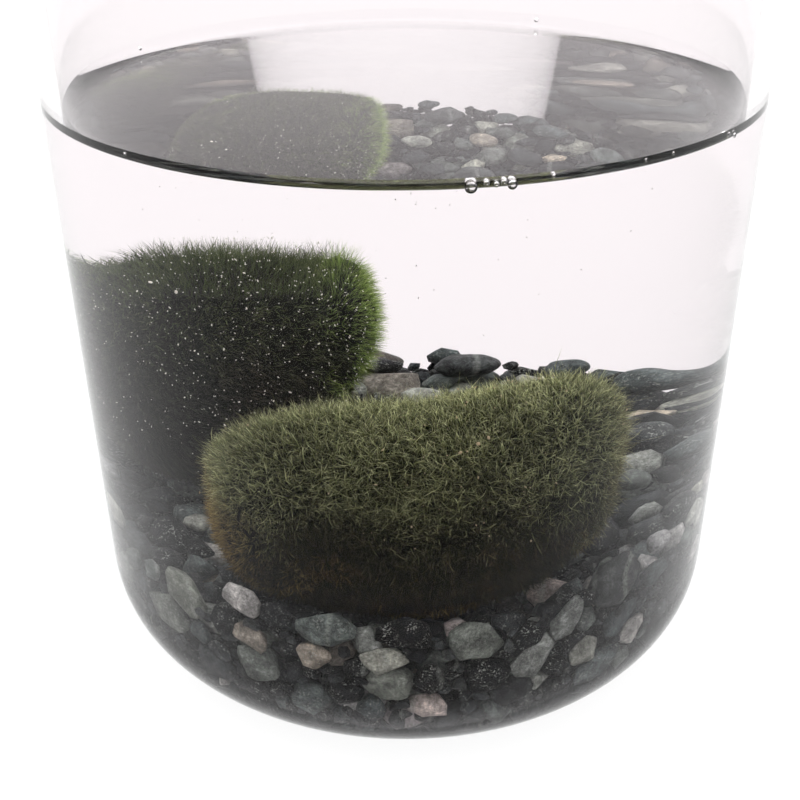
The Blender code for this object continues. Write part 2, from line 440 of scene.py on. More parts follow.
def felt_material(name, dark, light):
    """The dense felt under the filaments, its near-black colours painted shade deep in the ball."""
    made, tree, shader = material(name)
    place = tree.add("ShaderNodeTexCoord").outputs["Object"]
    stretched = tree.add("ShaderNodeMapping", {"Vector": place, "Scale": (1.0, 1.0, 0.35)})
    strands = tree.noise(stretched.outputs["Vector"], 2600, 4, 0.7)
    patches = tree.noise(place, 170, 3)
    share = tree.math("MULTIPLY", tree.range(strands, 0.4, 0.7), tree.range(patches, 0.35, 0.65, 0.4, 1.0))
    tree.set(shader.inputs["Base Color"], tree.mix(share, (*dark, 1), (*light, 1)))
    bump = tree.add("ShaderNodeBump", {"Strength": 1.0, "Distance": 0.0004, "Height": strands})
    tree.set(shader.inputs["Normal"], bump.outputs["Normal"])
    shader.inputs["Roughness"].default_value = 0.9
    shader.inputs["IOR"].default_value = FELT_IOR
    return made


def clear_material(name, tint, ior, sheen):
    """Clear glass, water or air. The sheen scales what it reflects."""
    made, _, shader = material(name)
    shader.inputs["Base Color"].default_value = (*tint, 1.0)
    shader.inputs["Roughness"].default_value = 0.0
    shader.inputs["IOR"].default_value = ior
    shader.inputs["Specular Tint"].default_value = (*sheen, 1.0)
    shader.inputs["Transmission Weight"].default_value = 1.0
    return made


def plain_material(name, colour):
    made, _, shader = material(name)
    shader.inputs["Base Color"].default_value = (*colour, 1.0)
    shader.inputs["Roughness"].default_value = 0.7
    shader.inputs["IOR"].default_value = WET_IOR
    return made


# Shapes

def add_piece(name, source, finish, nodes=()):
    """Makes a finished piece of the object from a bmesh or a mesh, and has it ride on the frame."""
    if isinstance(source, bmesh.types.BMesh):
        mesh = bpy.data.meshes.new(name)
        source.to_mesh(mesh)
        source.free()
    else:
        mesh = source
        mesh.name = name
    mesh.materials.clear()
    mesh.materials.append(finish)
    piece = bpy.data.objects.new(name, mesh)
    bpy.context.scene.collection.objects.link(piece)
    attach(piece, "root")
    if nodes:
        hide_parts(*nodes)
    return piece


def heel(radius, floor, inset, steps=HEEL_STEPS):
    """Points (r, z) up the rounded corner from a flat floor to a wall, that far in from the glass."""
    points = []
    for i in range(steps + 1):
        angle = math.pi / 2 * i / steps
        across = math.sin(angle) ** (2 / HEEL_FULLNESS)
        up = 1 - math.cos(angle) ** (2 / HEEL_FULLNESS)
        points.append((radius - (HEEL_WIDTH - inset) * (1 - across), floor + (HEEL_HEIGHT - inset) * up))
    return points


def held(profile):
    """Adds a point just inside each end of a long straight run, so that smooth shading stays flat."""
    points = []
    for (r, z), (next_r, next_z) in zip(profile, profile[1:]):
        points.append((r, z))
        length = math.hypot(next_r - r, next_z - z)
        if length > LONG_RUN:
            for share in (HOLD / length, 1 - HOLD / length):
                points.append((r + (next_r - r) * share, z + (next_z - z) * share))
    return points + [profile[-1]]


def turned(profile):
    """A smooth solid of revolution from points (r, z) that begin and end on the axis."""
    profile = held(profile)
    bm = bmesh.new()
    points = [bm.verts.new((r, 0.0, z)) for r, z in profile]
    edges = [bm.edges.new(pair) for pair in zip(points, points[1:])]
    bmesh.ops.spin(
        bm,
        geom=points + edges,
        axis=(0, 0, 1),
        cent=(0, 0, 0),
        angle=math.tau,
        steps=ROUND_STEPS,
        use_merge=True,
    )
    bmesh.ops.remove_doubles(bm, verts=bm.verts, dist=MERGE)
    bmesh.ops.recalc_face_normals(bm, faces=bm.faces)
    for face in bm.faces:
        face.smooth = True
    return bm


def merged_copy(node):
    """The mesh of a frame node with its loose triangles merged."""
    bm = bmesh.new()
    bm.from_mesh(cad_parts[node].data)
    bmesh.ops.remove_doubles(bm, verts=bm.verts, dist=MERGE)
    return bm


def merged_mesh(node):
    bm = merged_copy(node)
    bmesh.ops.triangulate(bm, faces=bm.faces)
    mesh = bpy.data.meshes.new(node)
    bm.to_mesh(mesh)
    bm.free()
    return mesh


def tree_of(node):
    """A search tree over the surface of a frame node."""
    bm = merged_copy(node)
    found = BVHTree.FromBMesh(bm)
    bm.free()
    return found


def room_radius(z):
    """The inner radius of the jar at a height."""
    floor, radius = BASE, JAR_RADIUS - WALL
    width, height = HEEL_WIDTH - WALL, HEEL_HEIGHT - WALL
    if z >= floor + height:
        return radius
    down = min(1.0, (floor + height - z) / height)
    return radius - width * (1 - (1 - down ** HEEL_FULLNESS) ** (1 / HEEL_FULLNESS))


def climb(rise, reach, steps=24, least=0.01):
    """Points (distance from the glass, height) down the curve of the water's edge, steep at the glass."""
    shares = [least ** (i / steps) for i in range(steps + 1)]
    return [(-reach * math.log(share), rise * share) for share in shares]


# The jar and the water

class MOSSJAR_OT_glass(bpy.types.Operator):
    """Make the glass jar"""

    bl_idname = "moss_jar.glass"
    bl_label = "Glass Jar"

    def execute(self, context):
        given = context.scene.moss_jar_glass
        half = WALL / 2
        angles = [math.pi * i / LIP_STEPS for i in range(LIP_STEPS + 1)]
        middle, top = JAR_RADIUS - half, JAR_HEIGHT - half
        lip = [(middle + half * math.cos(angle), top + half * math.sin(angle)) for angle in angles]
        profile = [(0, 0)] + heel(JAR_RADIUS, 0, 0) + lip
        profile += heel(JAR_RADIUS - WALL, BASE, WALL)[::-1] + [(0, BASE)]
        finish = clear_material("Clear Glass", given.tint, GLASS_IOR, (0.015,) * 3)
        add_piece("jar", turned(profile), finish, ["glass_jar"])
        return {"FINISHED"}


class MOSSJAR_OT_water(bpy.types.Operator):
    """Make the water with its raised edge"""

    bl_idname = "moss_jar.water"
    bl_label = "Water"

    def execute(self, context):
        given = context.scene.moss_jar_water
        inset = WALL - WATER_OVERLAP
        radius = JAR_RADIUS - inset
        level = WATER_EDGE - given.rise
        profile = [(0, BASE - WATER_OVERLAP)] + heel(radius, BASE - WATER_OVERLAP, inset)
        profile.append((radius, WATER_EDGE))
        for away, z in climb(given.rise, given.reach):
            profile.append((radius - WATER_OVERLAP - away, level + z))
        profile.append((0, level))
        finish = clear_material("Clear Water", given.tint, WATER_IOR, (0.03,) * 3)
        piece = add_piece("still_water", turned(profile), finish, ["water"])
        piece.data.set_sharp_from_angle(angle=math.radians(40))
        return {"FINISHED"}


# The gravel

# A stone is an ellipsoid with its own turn until its neighbours and its own flat faces cut it. Its number
# chooses its colour and pattern. A frame pebble among them has no number and only takes up room.
Stone = namedtuple("Stone", "centre half turn back number")

# Shares of the largest length, and how often a place is tried for each
STONE_SIZES = ((1.0, 2600), (0.80, 4000), (0.62, 8000), (0.46, 15000), (0.34, 24000), (0.25, 30000))
STONE_WIDTH = (0.60, 0.88)
STONE_THICKNESS = (0.42, 0.70)
STONE_TILT = 0.45
STONE_FACES = 12
STONE_FLATNESS = (0.80, 1.0)
STONE_CROWDING = 1.12

# A stone shorter than this fills the spaces between the others
SMALL_STONE = 3.8 * MM

# Painted shade: how much darker the small stones are, as shade in the gaps between the large ones, and those
# on the crest that shows behind the balls, as shade behind the balls
SMALL_STONE_SHADE = 0.45
CREST_SHADE = 0.55
CREST_BEHIND = 33 * MM
CREST_ABOVE = 32 * MM

# Where the front and the back of the bed begin, and the lengths below which a stone is plain grit. Deep in
# the bed only stones over a length are made
FRONT_BEGINS = -22 * MM
BACK_BEGINS = 15 * MM
GRIT_AT_FRONT = 2.7 * MM
GRIT_ELSEWHERE = 4.0 * MM
LEAST_DEEP_STONE = 5.2 * MM

# The stones that stand out against the front glass, in millimetres and degrees: across and up from the
# middle of the foot, length, width, the way the length leans, and the stone's number
FRONT_STONES = (
    (21.3, 23.8, 8.4, 3.9, 64, 0.745),
    (16.8, 18.6, 8.8, 5.0, 52, 0.790),
    (8.6, 22.6, 7.4, 6.4, -35, 0.620),
    (-2.9, 21.0, 8.8, 3.2, 6, 0.765),
    (-0.4, 25.2, 7.6, 4.4, 12, 0.022),
    (-8.4, 14.2, 5.4, 4.8, 0, 0.051),
    (-2.4, 16.2, 7.6, 6.2, -6, 0.665),
    (2.6, 12.3, 6.6, 4.2, -18, 0.985),
    (-20.8, 20.8, 6.2, 3.9, -38, 0.955),
    (-12.4, 20.2, 5.2, 3.6, 32, 0.948),
    (-20.0, 16.0, 8.2, 6.0, -10, 0.640),
    (-12.8, 12.0, 7.0, 5.6, 20, 0.500),
    (27.6, 25.4, 10.4, 8.6, 48, 0.350),
    (29.4, 19.5, 10.8, 4.4, 42, 0.560),
    (31.2, 15.6, 6.2, 4.2, 24, 0.895),
    (-32.6, 17.2, 9.4, 7.6, -20, 0.610),
    (10.6, 16.4, 7.8, 6.2, -12, 0.028),
    (26.0, 12.6, 10.2, 4.8, 24, 0.530),
    (23.6, 16.4, 6.0, 4.6, 50, 0.730),
    (-17.0, 25.8, 5.2, 4.2, 0, 0.180),
    (-21.6, 26.6, 7.0, 5.2, -25, 0.905),
    (-10.6, 24.9, 9.4, 5.0, 8, 0.470),
    (3.0, 17.4, 5.4, 4.2, 70, 0.010),
    (-24.4, 22.4, 7.4, 3.8, 58, 0.060),
    (-30.2, 22.6, 9.0, 6.2, -35, 0.700),
    (-6.6, 19.0, 4.6, 3.4, 40, 0.043),
    (14.0, 13.2, 7.0, 4.6, 10, 0.140),
    (-26.0, 12.6, 7.4, 5.0, -30, 0.300),
)


def new_stone(centre, size, turn, number):
    return Stone(centre, size / 2, turn, turn.transposed(), number)


def front_stone(across, up, length, width, lean, number):
    """A stone that lies flat against the glass at the front."""
    room = room_radius(up * MM) - 0.36 * width * MM
    centre = Vector((across * MM, -math.sqrt(room ** 2 - (across * MM) ** 2), up * MM))
    inward = Vector((-centre.x, -centre.y, 0)).normalized()
    level = Vector((-inward.y, inward.x, 0)) * -1
    leaning = Matrix.Rotation(-math.radians(lean), 3, inward)
    along = leaning @ level
    turn = Matrix((along, inward, along.cross(inward))).transposed()
    return new_stone(centre, Vector((length, 0.72 * width, width)) * MM, turn, number)


def reach_towards(stone, way):
    """The distance from the stone's middle to its surface, that way."""
    local = stone.back @ way
    return 1 / math.sqrt(sum((local[k] / stone.half[k]) ** 2 for k in range(3)))


def slope_towards(stone, way):
    local = stone.back @ way
    return stone.turn @ Vector([local[k] / stone.half[k] ** 2 for k in range(3)])


class StoneStore:
    """Stones, with a quick search for those around a place."""

    def __init__(self, cell):
        self.cell = cell
        self.stones = []
        self.grid = {}

    def key(self, point):
        return tuple(math.floor(c / self.cell) for c in point)

    def add(self, stone):
        self.stones.append(stone)
        self.grid.setdefault(self.key(stone.centre), []).append(stone)

    def around(self, point):
        x, y, z = self.key(point)
        for i in (x - 1, x, x + 1):
            for j in (y - 1, y, y + 1):
                for k in (z - 1, z, z + 1):
                    yield from self.grid.get((i, j, k), ())

    def touching(self, stone, slack):
        """Stones whose ellipsoids come within the slack of this one's, as a share of the distance."""
        for other in self.around(stone.centre):
            gap = other.centre - stone.centre
            distance = gap.length
            if distance > 0:
                way = gap / distance
                if reach_towards(stone, way) + reach_towards(other, -way) > distance * slack:
                    yield other


def room_over(point, bed):
    """How deep the point lies under the top of the gravel, or None beside the bed."""
    top = bed.ray_cast(Vector((point.x, point.y, JAR_HEIGHT)), Vector((0, 0, -1)))[0]
    return None if top is None else top.z - point.z


def in_bed(stone, bed, stand_out):
    """True where the stone lies in the bed, a little inside the glass."""
    x, y, z = stone.centre
    least = min(stone.half)
    if z < BASE + 0.7 * least or math.hypot(x, y) > room_radius(z) - 0.8 * least:
        return False
    under = room_over(stone.centre, bed)
    local = stone.back @ Vector((0, 0, 1))
    height = math.sqrt(sum((local[k] * stone.half[k]) ** 2 for k in range(3)))
    # only the larger stones lie on top, and the small ones fill the spaces between them
    over = stand_out if max(stone.half) > SMALL_STONE / 2 else -SMALL_STONE / 3
    return under is not None and under > height - over


def scatter_stones(given, bed):
    """Lays the front stones first, then others at random, the large ones before the small ones."""
    rng = random.Random(given.seed)
    low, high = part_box("gravel_bed")
    store = StoneStore(1.1 * given.largest)
    for node in PEBBLES:
        corner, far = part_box(node)
        store.add(new_stone((corner + far) / 2, (far - corner) * 0.9, Matrix.Identity(3), None))
    for entry in FRONT_STONES:
        store.add(front_stone(*entry))
    for share, tries in STONE_SIZES:
        for _ in range(tries):
            centre = Vector([rng.uniform(low[k], high[k]) for k in range(3)])
            length = given.largest * share * rng.uniform(0.85, 1.1)
            size = length * Vector((1, rng.uniform(*STONE_WIDTH), rng.uniform(*STONE_THICKNESS)))
            turn = Euler((rng.gauss(0, STONE_TILT), rng.gauss(0, STONE_TILT), rng.uniform(0, math.tau)))
            # painted shade: the small stones, which fill the gaps between the large ones, are darker
            tone = 1.0 if share > 0.5 else SMALL_STONE_SHADE
            stone = new_stone(centre, size, turn.to_matrix(), rng.random() * tone)
            if in_bed(stone, bed, given.stand_out) and not any(store.touching(stone, STONE_CROWDING)):
                store.add(stone)
    return store


def cut_back(bm, centre, way, reach):
    """Cuts the shape off flat, that far from its middle."""
    if max((v.co - centre).dot(way) for v in bm.verts) <= reach:
        return
    everything = bm.verts[:] + bm.edges[:] + bm.faces[:]
    bmesh.ops.bisect_plane(
        bm, geom=everything, plane_co=centre + way * reach, plane_no=way, clear_outer=True, dist=CUT
    )
    bmesh.ops.holes_fill(bm, edges=[e for e in bm.edges if e.is_boundary], sides=0)


def stone_shape(stone, others, gap, rng):
    """A broken stone: a block cut flat round its own form, and once more against each neighbour."""
    bm = bmesh.new()
    bmesh.ops.create_cube(bm, size=2.6 * max(stone.half))
    bmesh.ops.translate(bm, verts=bm.verts, vec=stone.centre)
    for i in range(STONE_FACES):
        # spread evenly over a sphere by the golden angle, then moved a little
        z = 1 - 2 * (i + 0.5) / STONE_FACES
        angle = i * GOLDEN_ANGLE + rng.uniform(-0.45, 0.45)
        r = math.sqrt(1 - z * z)
        facing = Vector((r * math.cos(angle), r * math.sin(angle), z + rng.uniform(-0.2, 0.2)))
        way = stone.turn @ facing.normalized()
        local = stone.back @ way
        support = math.sqrt(sum((local[k] * stone.half[k]) ** 2 for k in range(3)))
        cut_back(bm, stone.centre, way, support * rng.uniform(*STONE_FLATNESS))
    for other in others:
        apart = other.centre - stone.centre
        way = (slope_towards(stone, apart) + slope_towards(other, apart)).normalized()
        straight = apart.normalized()
        own, its = reach_towards(stone, straight), reach_towards(other, -straight)
        cut_back(bm, stone.centre, way, (apart * own / (own + its)).dot(way) - gap)
    return bm


def press_into_room(co, solids):
    """Keeps a stone's corner inside the jar and out of the solids beside it."""
    co.z = max(co.z, BASE + 0.2 * MM)
    room = room_radius(co.z) - 0.2 * MM
    across = math.hypot(co.x, co.y)
    if across > room:
        co.x *= room / across
        co.y *= room / across
    for tree, sunk in solids:
        place, normal, _, distance = tree.find_nearest(co)
        if (co - place).dot(normal) < 0 and sunk < distance:
            co.xyz = place - normal * sunk
    return co


def join_stones(name, shapes, rounded, nodes):
    """Joins stones in one piece. Rounded ones get one subdivision, and their edges stay fairly sharp."""
    joined = bmesh.new()
    number = joined.verts.layers.float.new("Stone")
    crease = joined.edges.layers.float.new("crease_edge")
    for shape, own, sharp in shapes:
        made = {}
        for v in shape.verts:
            made[v] = joined.verts.new(v.co)
            made[v][number] = own
        for f in shape.faces:
            face = joined.faces.new([made[v] for v in f.verts])
            face.smooth = rounded
            for e in face.edges:
                e[crease] = sharp
        shape.free()
    bmesh.ops.recalc_face_normals(joined, faces=joined.faces)
    piece = add_piece(name, joined, stone_material(), nodes)
    if rounded:
        smooth = piece.modifiers.new("Rounding", "SUBSURF")
        smooth.levels = smooth.render_levels = 1


def crest_shaded_number(number, place):
    """The number of a stone in that place: stones on the crest behind the balls are darker than others, as
    painted shade.
    """
    return CREST_SHADE * number if place.y > CREST_BEHIND and place.z > CREST_ABOVE else number


class MOSSJAR_OT_gravel(bpy.types.Operator):
    """Make every stone of the gravel bed"""

    bl_idname = "moss_jar.gravel"
    bl_label = "Gravel Bed"

    def execute(self, context):
        given = context.scene.moss_jar_gravel
        rng = random.Random(given.seed + 1)
        bed = tree_of("gravel_bed")
        solids = [(tree_of(ball), 1.2 * MM) for ball in ("moss_ball_front", "moss_ball_back")]
        store = scatter_stones(given, bed)
        groups = {"gravel_" + name: [] for name in ("front", "sides", "back", "deep", "grit")}
        for stone in store.stones:
            if stone.number is None:
                continue
            x, y, z = stone.centre
            from_glass = room_radius(z) - math.hypot(x, y)
            under = room_over(stone.centre, bed)
            deep = min(from_glass, under if under is not None else 0.0) > given.rounding_depth
            length, at_front = 2 * max(stone.half), y < FRONT_BEGINS
            # what nobody can see deep in the bed is left out, but for its large stones
            if deep and length < LEAST_DEEP_STONE:
                continue
            if deep:
                group = "gravel_deep"
            elif length < (GRIT_AT_FRONT if at_front else GRIT_ELSEWHERE):
                group = "gravel_grit"
            elif y > BACK_BEGINS:
                group = "gravel_back"
            else:
                group = "gravel_front" if at_front else "gravel_sides"
            shape = stone_shape(stone, store.touching(stone, 0.8), given.gap, rng)
            sharp = rng.uniform(0.3, 0.85)
            if len(shape.faces) < 5 or any(e.is_boundary for e in shape.edges):
                shape.free()
                continue
            for v in shape.verts:
                v.co = press_into_room(v.co, solids)
            groups[group].append((shape, crest_shaded_number(stone.number, stone.centre), sharp))
        for name, shapes in groups.items():
            rounded = name not in ("gravel_deep", "gravel_grit")
            join_stones(name, shapes, rounded, ["gravel_bed"] if name == "gravel_front" else [])
        return {"FINISHED"}


class MOSSJAR_OT_pebbles(bpy.types.Operator):
    """Make the loose pebbles on top of the gravel"""

    bl_idname = "moss_jar.pebbles"
    bl_label = "Pebbles"

    def execute(self, context):
        rng = random.Random(21)
        for node in PEBBLES:
            mesh = grown(node, -0.05 * MM, 0.22 * MM, rng.randrange(1000), 2.6 * MM)
            own = mesh.attributes.new("Stone", "FLOAT", "POINT")
            low, high = (Vector(corner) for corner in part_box(node))
            number = crest_shaded_number(rng.random(), (low + high) / 2)
            own.data.foreach_set("value", np.full(len(mesh.vertices), number, np.float32))
            add_piece(node.replace("pebble", "loose_pebble"), mesh, stone_material(), [node])
        return {"FINISHED"}


# The moss

def grown(node, depth, lumps, seed, scale=4.5 * MM):
    """The node's form, finer, drawn in by that depth and made lumpy."""
    bm = merged_copy(node)
    mesh = bpy.data.meshes.new(node)
    bm.to_mesh(mesh)
    bm.free()
    form = bpy.data.objects.new(node + "_form", mesh)
    bpy.context.scene.collection.objects.link(form)
    fine = form.modifiers.new("Fine", "SUBSURF")
    fine.levels = fine.render_levels = 2
    dg = bpy.context.evaluated_depsgraph_get()
    made = bpy.data.meshes.new_from_object(form.evaluated_get(dg))
    bpy.data.objects.remove(form)
    bpy.data.meshes.remove(mesh)
    co = read_vectors(made.vertices, "co")
    normal = read_vectors(made.vertices, "normal")
    move = -depth + lumps * ripple(co, seed, scale)
    co += normal * move[:, None]
    made.vertices.foreach_set("co", co.astype(np.float32).ravel())
    made.update()
    for polygon in made.polygons:
        polygon.use_smooth = True
    return made


def read_vectors(collection, field):
    values = np.empty(len(collection) * 3, np.float32)
    collection.foreach_get(field, values)
    return values.reshape(-1, 3).astype(float)


def ripple(co, seed, scale=4.5 * MM, octaves=3):
    """Smooth noise from -1 to 1 at each point, as a sum of sines along directions chosen by the seed."""
    rng = np.random.default_rng(seed)
    total = np.zeros(len(co))
    weight = 0.0
    for octave in range(octaves):
        size = scale / 1.9 ** octave
        for _ in range(7):
            way = rng.normal(size=3)
            way /= np.linalg.norm(way)
            bend = rng.normal(size=3)
            bend /= np.linalg.norm(bend)
            phase = rng.uniform(0, math.tau)
            wobble = np.sin(co @ bend / size * 1.7 + rng.uniform(0, math.tau))
            total += 0.6 ** octave * np.sin(co @ way * 2.2 / size + phase + 1.2 * wobble)
        weight += 0.6 ** octave * 7
    return np.clip(total / weight * 3.0, -1, 1)


def unit(vectors):
    return vectors / np.maximum(np.linalg.norm(vectors, axis=1, keepdims=True), 1e-12)


def scattered(mesh, count, rng):
    """Points spread evenly over a mesh, with their normals."""
    mesh.calc_loop_triangles()
    corners = np.empty(len(mesh.loop_triangles) * 3, np.int32)
    mesh.loop_triangles.foreach_get("vertices", corners)
    corners = corners.reshape(-1, 3)
    co = read_vectors(mesh.vertices, "co")
    normal = read_vectors(mesh.vertices, "normal")
    a, b, c = (co[corners[:, k]] for k in range(3))
    area = np.linalg.norm(np.cross(b - a, c - a), axis=1)
    pick = rng.choice(len(area), size=count, p=area / area.sum())
    u, v = rng.random(count), rng.random(count)
    flip = u + v > 1
    u[flip], v[flip] = 1 - u[flip], 1 - v[flip]
    tri = corners[pick]
    place, facing = (
        of[tri[:, 0]] * (1 - u - v)[:, None] + of[tri[:, 1]] * u[:, None] + of[tri[:, 2]] * v[:, None]
        for of in (co, normal)
    )
    return place, unit(facing)


def filament_mesh(name, place, normal, style, rng, segments):
    """Joins many thin curved blades in one mesh.

    style holds, for each blade: length, lean from upright, comb direction, how strongly it follows the comb,
    curl, width, its number (the higher, the brighter) and the age and stain of its colour.
    """
    count = len(place)
    any_way = unit(rng.normal(size=(count, 3)))
    comb = style["follow"][:, None] * style["comb"] + (1 - style["follow"][:, None]) * any_way
    comb = unit(comb - normal * np.sum(comb * normal, axis=1, keepdims=True))
    lean = style["lean"][:, None]
    way = unit(normal * np.cos(lean) + comb * np.sin(lean))
    bend = unit(rng.normal(size=(count, 3))) * style["curl"][:, None]
    side = unit(np.cross(way, unit(rng.normal(size=(count, 3)))))
    step = (style["length"] / segments)[:, None]
    spine = place - normal * 0.3 * MM
    rows, alongs = [], []
    for k in range(segments + 1):
        along = k / segments
        half = style["width"][:, None] * 0.5 * (1 - 0.6 * along ** 2)
        if k < segments:
            rows += [spine - side * half, spine + side * half]
            alongs += [along, along]
        else:
            rows.append(spine)
            alongs.append(1.0)
        spine = spine + way * step
        way = unit(way + bend)
        bend = bend + unit(rng.normal(size=(count, 3))) * 0.5 * style["curl"][:, None]
    per = len(rows)
    co = np.stack(rows, axis=1).reshape(-1, 3)
    first = (np.arange(count) * per)[:, None]
    quads = []
    for k in range(segments - 1):
        quads.append(first + np.array([2 * k, 2 * k + 1, 2 * k + 3, 2 * k + 2]))
    tip = first + np.array([per - 3, per - 2, per - 1])
    loops = np.concatenate([np.concatenate(quads, axis=1), tip], axis=1).ravel()
    sizes = np.tile(np.array([4] * (segments - 1) + [3]), count)
    starts = np.concatenate([[0], np.cumsum(sizes)[:-1]])
    mesh = bpy.data.meshes.new(name)
    mesh.vertices.add(len(co))
    mesh.vertices.foreach_set("co", co.astype(np.float32).ravel())
    mesh.loops.add(len(loops))
    mesh.loops.foreach_set("vertex_index", loops.astype(np.int32))
    mesh.polygons.add(len(sizes))
    mesh.polygons.foreach_set("loop_start", starts.astype(np.int32))
    mesh.update(calc_edges=True)
    colour = np.ones((count, per, 4), np.float32)
    colour[:, :, 0] = style["number"][:, None]
    colour[:, :, 1] = np.array(alongs)[None, :]
    colour[:, :, 2] = style["age_and_shade"][:, None]
    colour[:, :, 3] = style["stain"][:, None]
    attribute = mesh.attributes.new("Moss", "FLOAT_COLOR", "POINT")
    attribute.data.foreach_set("color", colour.ravel())
    mesh.validate()
    return mesh


def smooth(low, high, values):
    share = np.clip((values - low) / (high - low), 0, 1)
    return share * share * (3 - 2 * share)


def shares_of(place, node):
    """Each point's place in the node's box, from 0 to 1 along X, Y and Z."""
    low, high = (np.array(corner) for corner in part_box(node))
    return ((place - low) / (high - low)).T


def front_zones(place, normal):
    """Where the front ball is old and matted, with painted shade on its underside, its low part and its
    front, and where it is stained brown.
    """
    across, _, height = shares_of(place, "moss_ball_front")
    # partly old matted moss and partly painted shade: the old share grows where the surface faces down,
    # where it faces the front, and lower on the ball
    old_and_shaded = 0.50 - 0.75 * normal[:, 2] - 1.1 * (height - 0.5) + 0.30 * ripple(place, 31, 7 * MM)
    old_and_shaded += 0.30 * smooth(0.4, 0.9, -normal[:, 1])
    stain = 0.9 * smooth(0.18, 0.04, across) * smooth(0.68, 0.42, height)
    stain = np.maximum(stain, 0.45 * smooth(0.93, 1.0, across) * smooth(0.3, 0.6, height))
    patches = smooth(0.25, 0.7, ripple(place, 35, 6 * MM))
    stain = np.maximum(stain, 0.35 * patches * smooth(0.6, 0.3, height))
    return np.clip(old_and_shaded, 0, 1), np.clip(stain, 0, 1)


def front_style(place, normal, given, rng):
    """The front ball's long filaments: loose and curly above, matted and combed below."""
    count = len(place)
    across, _, height = shares_of(place, "moss_ball_front")
    old_and_shaded, stain = front_zones(place, normal)
    tuft = 0.5 + 0.5 * ripple(place, 34, 3 * MM)
    coarse = smooth(0.15, 0.4, across) * smooth(0.9, 0.6, height)
    swirl = ripple(place, 32, 8 * MM, 2)[:, None] * np.array([1.0, 0.2, 0.0])
    swirl = swirl + ripple(place, 33, 8 * MM, 2)[:, None] * np.array([0.0, 0.4, 0.9])
    streaks = smooth(0.45, 0.25, across)[:, None]
    down = np.array([0.0, 0.0, -1.0]) * (1 - streaks) + np.array([1.0, 0.0, -0.1]) * streaks
    # painted light: filaments along the top and the side edges of the ball are brighter and less old in
    # colour
    lit_rim = np.maximum(smooth(0.80, 0.98, height), smooth(0.86, 1.0, across))
    lit_rim = np.maximum(lit_rim, smooth(0.12, 0.0, across) * smooth(0.35, 0.55, height))
    # painted shade and light in patches: darker and lighter tufts, with painted shade in the gaps between
    # them where the felt is loose
    shade = 1.1 * coarse * ripple(place, 36, 2.4 * MM) + 0.5 * ripple(place, 37, 9 * MM)
    length = (2.6 + 1.5 * coarse - 1.2 * old_and_shaded) * MM
    stray = np.where(rng.random(count) < 0.012, 1.8, 1.0)
    return {
        "length": length * rng.uniform(0.5, 1.25, count) * (0.8 + 0.4 * tuft) * stray,
        "lean": np.clip(0.45 + 0.55 * coarse + 0.55 * old_and_shaded + rng.normal(0, 0.35, count), 0.05, 1.45),
        "comb": unit(swirl + down * (2.2 * old_and_shaded[:, None] ** 2) + 1e-6),
        "follow": np.clip(0.25 + 0.5 * old_and_shaded, 0, 0.85),
        "curl": rng.uniform(0.15, 0.85, count),
        "width": given.width * rng.uniform(0.4, 0.85, count),
        "number": rng.random(count) ** ((1 - 0.74 * lit_rim + 1.25 * coarse) * np.exp(shade)),
        "age_and_shade": np.clip(old_and_shaded * (1 - 0.5 * lit_rim) + rng.normal(0, 0.12, count), 0, 1),
        "stain": np.clip(stain + rng.normal(0, 0.1, count), 0, 1),
    }


def front_down_style(place, normal, given, rng):
    """The short dark down between the front ball's long filaments, darkened as painted shade."""
    count = len(place)
    old_and_shaded, stain = front_zones(place, normal)
    return {
        "length": 1.9 * MM * rng.uniform(0.6, 1.2, count),
        "lean": np.clip(0.6 + rng.normal(0, 0.35, count), 0.05, 1.4),
        "comb": unit(rng.normal(size=(count, 3))),
        "follow": np.zeros(count),
        "curl": rng.uniform(0.1, 0.6, count),
        "width": given.width * rng.uniform(1.0, 1.7, count),
        "number": rng.random(count),
        # painted shade between the long filaments: the down starts darker, and darker still where the front
        # ball is old and shaded
        "age_and_shade": np.clip(0.35 + 0.6 * old_and_shaded, 0, 1),
        "stain": stain,
    }


def back_zones(place, normal):
    """Painted light and shade on the back ball: painted bright where it faces up at the back, where it faces
    +X, at its upper corner and higher up, and dark with painted shade elsewhere; and where it is stained.
    """
    across, deep, height = shares_of(place, "moss_ball_back")
    uneven = 0.08 * ripple(place, 44, 5 * MM)
    crown = smooth(0.15, 0.5, normal[:, 2]) * smooth(0.72, 1.0, deep + uneven)
    side = smooth(0.35, 0.8, normal[:, 0]) * smooth(0.35, 0.6, height + uneven)
    corner = smooth(0.74, 0.90, across + uneven) * smooth(0.68, 0.85, height)
    bright = np.maximum(np.maximum(crown, side), np.maximum(corner, 0.22 * smooth(0.45, 0.9, height)))
    patches = smooth(0.2, 0.6, ripple(place, 45, 7 * MM))
    stain = 0.8 * patches * smooth(0.4, 0.7, across) * smooth(0.8, 0.6, height)
    return 1 - bright, np.clip(stain, 0, 1) * (1 - bright)


